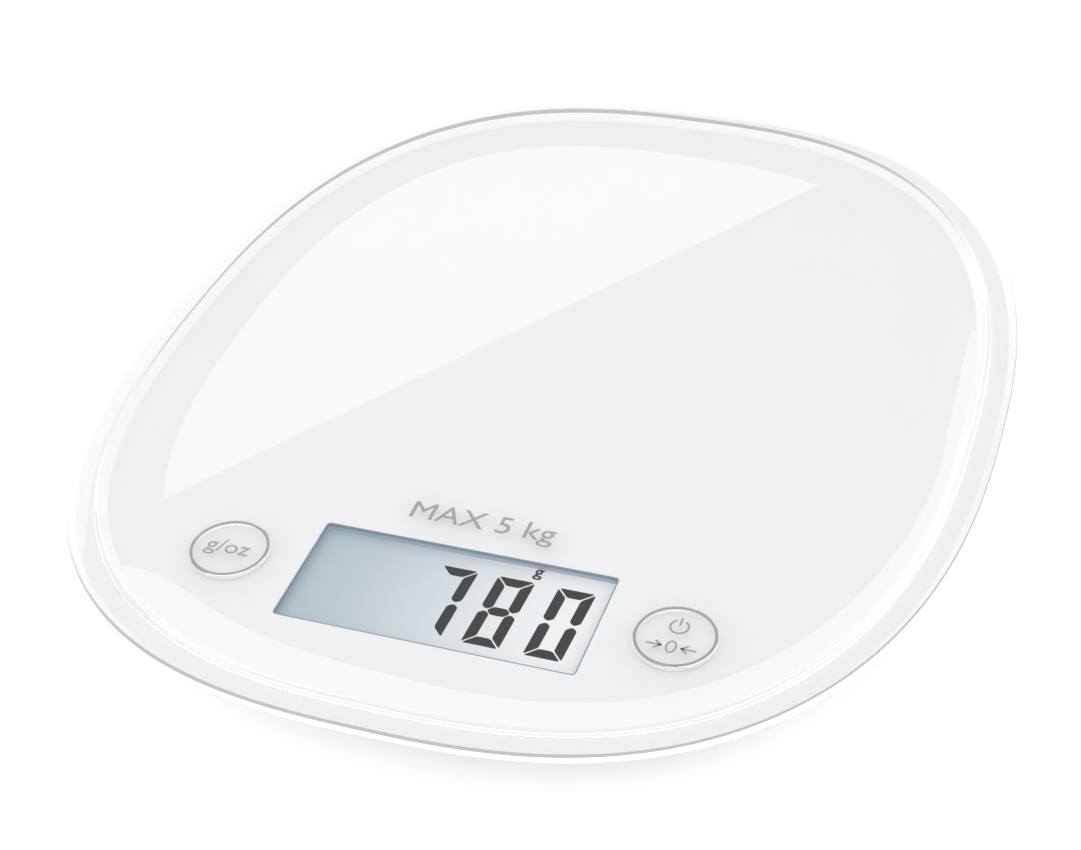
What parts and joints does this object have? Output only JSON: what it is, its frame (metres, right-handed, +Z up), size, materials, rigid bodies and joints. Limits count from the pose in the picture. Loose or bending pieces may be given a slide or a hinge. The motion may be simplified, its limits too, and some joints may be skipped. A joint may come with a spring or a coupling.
{
  "type": "digital kitchen scale",
  "caption": "Flat digital kitchen scale: a clear rimmed tray over a white body, with a display window and two round keys at the front, standing on small rubber feet.",
  "frame": {"origin": "on the table under the middle of the outline, level with the undersides of the rubber feet", "axes": "+Z up out of the weighing platform, +Y to the back, +X to the right as the user sees the display"},
  "size_m": [0.1872, 0.2206, 0.02],
  "materials": {
    "clear_plastic": "clear moulded styrene plastic, polished",
    "white_plastic": "white moulded ABS, glossy",
    "display_glass": "liquid crystal cell, blue-grey, smooth",
    "frame_plastic": "pale grey moulded plastic",
    "black_rubber": "black conductive silicone strip",
    "grey_rubber": "grey moulded rubber, matt",
    "circuit_board": "green solder-masked board",
    "epoxy": "black cured epoxy",
    "switch_plastic": "black moulded plastic",
    "steel": "zinc plated or stainless steel",
    "nickel": "nickel plated spring strip",
    "aluminium": "milled aluminium bar",
    "red_insulation": "red vinyl insulation",
    "black_insulation": "black vinyl insulation",
    "grey_insulation": "grey vinyl insulation",
    "label_film": "silver-grey polyester film, blank"
  },
  "bodies": {
    "housing": {"bar_screw_front_left_1": "steel", "bar_screw_front_left_2": "steel", "bar_screw_front_right_1": "steel", "bar_screw_front_right_2": "steel", "bar_screw_rear_left_1": "steel", "bar_screw_rear_left_2": "steel", "bar_screw_rear_right_1": "steel", "bar_screw_rear_right_2": "steel", "base_pan": "white_plastic", "battery_contact_negative": "nickel", "battery_contact_positive": "nickel", "battery_wire_black": "black_insulation", "battery_wire_red": "red_insulation", "board_screw_1": "steel", "board_screw_2": "steel", "coin_cell": "steel", "controller_chip": "epoxy", "deck_panel": "white_plastic", "housing_screw_1": "steel", "housing_screw_2": "steel", "housing_screw_3": "steel", "housing_screw_4": "steel", "housing_screw_5": "steel", "housing_screw_6": "steel", "lcd_contact_strip": "black_rubber", "lcd_frame": "frame_plastic", "lcd_glass": "display_glass", "lcd_reflector": "white_plastic", "main_board": "circuit_board", "platform_tray": "clear_plastic", "rating_label": "label_film", "sensor_wire_front_left": "grey_insulation", "sensor_wire_front_right": "grey_insulation", "sensor_wire_rear_left": "grey_insulation", "sensor_wire_rear_right": "grey_insulation", "tare_switch": "steel", "unit_switch": "steel"},
    "battery_door": {"battery_door": "white_plastic"},
    "unit_key": {"unit_key_cap": "clear_plastic", "unit_key_plunger": "white_plastic"},
    "unit_switch_button": {"unit_switch_button": "switch_plastic"},
    "tare_key": {"tare_key_cap": "clear_plastic", "tare_key_plunger": "white_plastic"},
    "tare_switch_button": {"tare_switch_button": "switch_plastic"},
    "front_left_foot": {"foot_front_left": "white_plastic", "foot_pad_front_left": "grey_rubber", "foot_screw_front_left": "steel", "sensor_bar_front_left": "aluminium"},
    "front_right_foot": {"foot_front_right": "white_plastic", "foot_pad_front_right": "grey_rubber", "foot_screw_front_right": "steel", "sensor_bar_front_right": "aluminium"},
    "rear_left_foot": {"foot_rear_left": "white_plastic", "foot_pad_rear_left": "grey_rubber", "foot_screw_rear_left": "steel", "sensor_bar_rear_left": "aluminium"},
    "rear_right_foot": {"foot_rear_right": "white_plastic", "foot_pad_rear_right": "grey_rubber", "foot_screw_rear_right": "steel", "sensor_bar_rear_right": "aluminium"}
  },
  "joints": [
    {"name": "unit_key_press", "type": "slide", "parent": "housing", "child": "unit_key", "axis": [0, 0, -1], "range_m": [0, 0.00035], "stiffness_N_per_m": 4000},
    {"name": "unit_switch_press", "type": "slide", "parent": "housing", "child": "unit_switch_button", "axis": [0, 0, -1], "range_m": [0, 0.00035]},
    {"name": "tare_key_press", "type": "slide", "parent": "housing", "child": "tare_key", "axis": [0, 0, -1], "range_m": [0, 0.00035], "stiffness_N_per_m": 4000},
    {"name": "tare_switch_press", "type": "slide", "parent": "housing", "child": "tare_switch_button", "axis": [0, 0, -1], "range_m": [0, 0.00035]},
    {"name": "battery_door_hinge", "type": "hinge", "parent": "housing", "child": "battery_door", "pos_m": [0, 0.00025, 0.00425], "axis": [1, 0, 0], "range_deg": [0, 80]},
    {"name": "front_left_foot_flex", "type": "hinge", "parent": "housing", "child": "front_left_foot", "pos_m": [-0.055, -0.024, 0.007], "axis": [-1, 0, 0], "range_deg": [0, 1.2], "stiffness_Nm_per_rad": 16.2},
    {"name": "front_right_foot_flex", "type": "hinge", "parent": "housing", "child": "front_right_foot", "pos_m": [0.055, -0.024, 0.007], "axis": [-1, 0, 0], "range_deg": [0, 1.2], "stiffness_Nm_per_rad": 16.2},
    {"name": "rear_left_foot_flex", "type": "hinge", "parent": "housing", "child": "rear_left_foot", "pos_m": [-0.046, 0.04, 0.007], "axis": [1, 0, 0], "range_deg": [0, 1.2], "stiffness_Nm_per_rad": 16.2},
    {"name": "rear_right_foot_flex", "type": "hinge", "parent": "housing", "child": "rear_right_foot", "pos_m": [0.046, 0.04, 0.007], "axis": [1, 0, 0], "range_deg": [0, 1.2], "stiffness_Nm_per_rad": 16.2}
  ],
  "couplings": [
    {"joint": "unit_switch_press", "follows": "unit_key_press", "ratio": 1},
    {"joint": "tare_switch_press", "follows": "tare_key_press", "ratio": 1}
  ]
}
